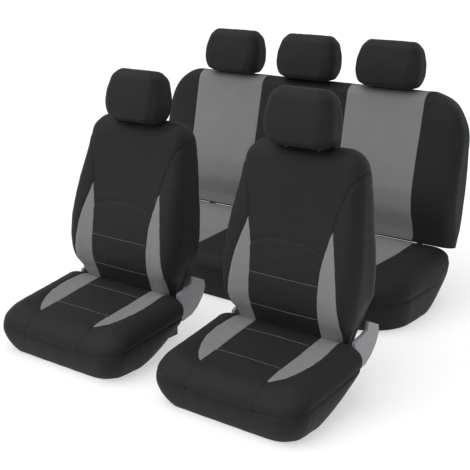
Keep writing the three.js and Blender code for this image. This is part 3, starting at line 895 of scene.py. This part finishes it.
benchLean = 9
benchBack = {
    "level": [-48, 0, 20, 76, 120, 169, 240, 300, 360, 430, 480, 548],
    "half": [722, 725, 727, 729, 730, 731, 731, 730, 729, 725, 721, 716],
    "front": [-46, -60, -70, -98, -109, -115, -114, -111, -108, -105, -103, -100],
    "back": [20, 24, 25, 25, 23, 21, 16, 11, 7, 4, 2, -4],
    "top": 549.0,
    "shoulder": 46.0,
    "cornerFront": 46.0,
    "cornerBack": 30.0,
    "counts": (250, 16, 12),
    "band": [(213, -44), (213, 300), (211, 549), (558, 549), (556, 300), (555, -44)],
    "footRise": 2,
    "footFade": 30,
    "corner": {"from": 345, "height": 205, "loss": 150, "power": 2.4},
    "bolster": {"middle": 640, "width": 60, "fadeIn": (40, 140), "fadeOut": (430, 520), "height": 7},
}


def buildBenchBack():
    level, closing = crownedRows(benchBack)
    grid = formGrid(benchBack, level, closing, widthLoss=0)
    # The upper corners are large ovals: at t of the corner's height, from 0 to 1, the half
    # width loses its loss times one less the root of one less t to the corner's power.
    corner = benchBack["corner"]
    t = np.clip((grid[..., 2] - corner["from"]) / corner["height"], 0, 1)
    loss = corner["loss"] * (1 - np.sqrt(np.maximum(0, 1 - t ** corner["power"])))
    half = np.abs(grid[..., 0]).max(axis=1, keepdims=True)
    grid[..., 0] *= (half - loss) / half
    raiseFoot(grid, benchBack)
    grid = footRows(grid, rise=14, inset=9)
    where = frontOf(-20)
    outline = benchBack["band"]
    seams = [(line, 2.0, 2.8, where) for line in bothSides(outline)]

    def swell(a, b, points):
        # The outer bolsters stand proud. All of it is set back a little, clear of the
        # cushion when the back is folded down.
        side = raised(np.abs(a), b, benchBack["bolster"]) * where(points)
        folds = softFolds(a, b, seed=9, height=1.2, pitch=90.0)
        return side + folds * smoothStep(60, 160, b) - 0.6

    piece, _ = paddedPiece(
        "rearBackrestCover", "rear", grid, frontMiddleColumn(benchBack["counts"]), byLevel, seams,
        [(line, where) for line in bothSides(outline)], swell,
        body="rear_backrest", leanBy=(benchPivot, benchLean),
    )
    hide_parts("rear_backrest_cover", "rear_backrest_foam")
    return piece


benchRestFoot = 545
benchRest = dict(frontRest)
benchRest.update(
    half=[110, 120, 130, 138, 142, 141, 134, 123, 117],
    front=[-132, -136, -141, -144, -146, -145, -142, -138, -136],
    back=[-42, -38, -33, -29, -27, -28, -31, -35, -37],
)

benchCushion = {
    "half": 698.0, "front": 378.0, "back": 903.0,
    "share": [0.0, 0.12, 0.3, 0.5, 0.6],
    "sideInset": [18, 10, 3, 0, 2],
    "noseInset": [12, 7, 1, 0, 3],
    "tailInset": [0, 0, 0, 0, 2],
    "edge": {"side": 60.0, "nose": 70.0, "tail": 62.0},
    "cornerFront": 190.0, "cornerBack": 26.0, "bow": 40.0,
    "hem": lambda y: 3 + 120 * np.clip((y - 715) / 190, 0, 1) ** 1.8,
    "top": lambda y: 158 + 85 * np.clip((y - 378) / 467, 0, 1),
    "counts": (240, 84, 36),
    "insertOuter": [
        (214, 864), (556, 864), (556, 846), (544, 740), (517, 620), (489, 520), (462, 440), (452, 404),
    ],
    "insertInner": [(286, 404), (275, 440), (258, 521), (238, 632), (222, 740), (214, 846)],
    "boxing": lambda x, y: np.full(x.shape, 113.0),
    "boxed": lambda y: 1 - smoothStep(700, 860, y),
}

# The seats and the bench

for seat in ("driver", "passenger"):
    buildFrontBack(seat)
    buildHeadrest(
        f"{seat}HeadrestCover", seat, 0, frontRest, restFoot[seat], (frontPivot, frontLean[seat]),
        f"{seat}_headrest", (f"{seat}_headrest_cover", f"{seat}_headrest_foam"),
    )
    buildCushion(
        f"{seat}CushionCover", seat, frontCushion, frontSwell,
        (f"{seat}_cushion_cover", f"{seat}_cushion_foam"), lid=62, inset=14,
    )
    print(seat, "seat covers are made")

buildBenchBack()
buildCushion(
    "rearCushionCover", "rear", benchCushion, benchSwell,
    ("rear_cushion_cover", "rear_cushion_foam"), lid=64, inset=14,
)
for side, shift in (("right", -379), ("middle", 3), ("left", 386)):
    buildHeadrest(
        f"rear{side.capitalize()}HeadrestCover", "rear", shift, benchRest, benchRestFoot,
        (benchPivot, benchLean), f"rear_{side}_headrest",
        (f"rear_{side}_headrest_cover", f"rear_{side}_headrest_foam"),
    )
print("bench covers are made")

# Finishes for the frame's own pieces

nodeFinish = {
    "trim": trimPlastic, "pan": paintedSteel, "base": paintedSteel, "bracket": paintedSteel,
    "pin": paintedSteel, "shaft": paintedSteel, "frame": paintedSteel,
    "strap": elasticWeb, "posts": brightSteel, "guide": blackPlastic,
}
for nodeName, node in frame["nodes"].items():
    for word, finish in nodeFinish.items():
        if word in nodeName:
            node.data.materials.clear()
            node.data.materials.append(finish)
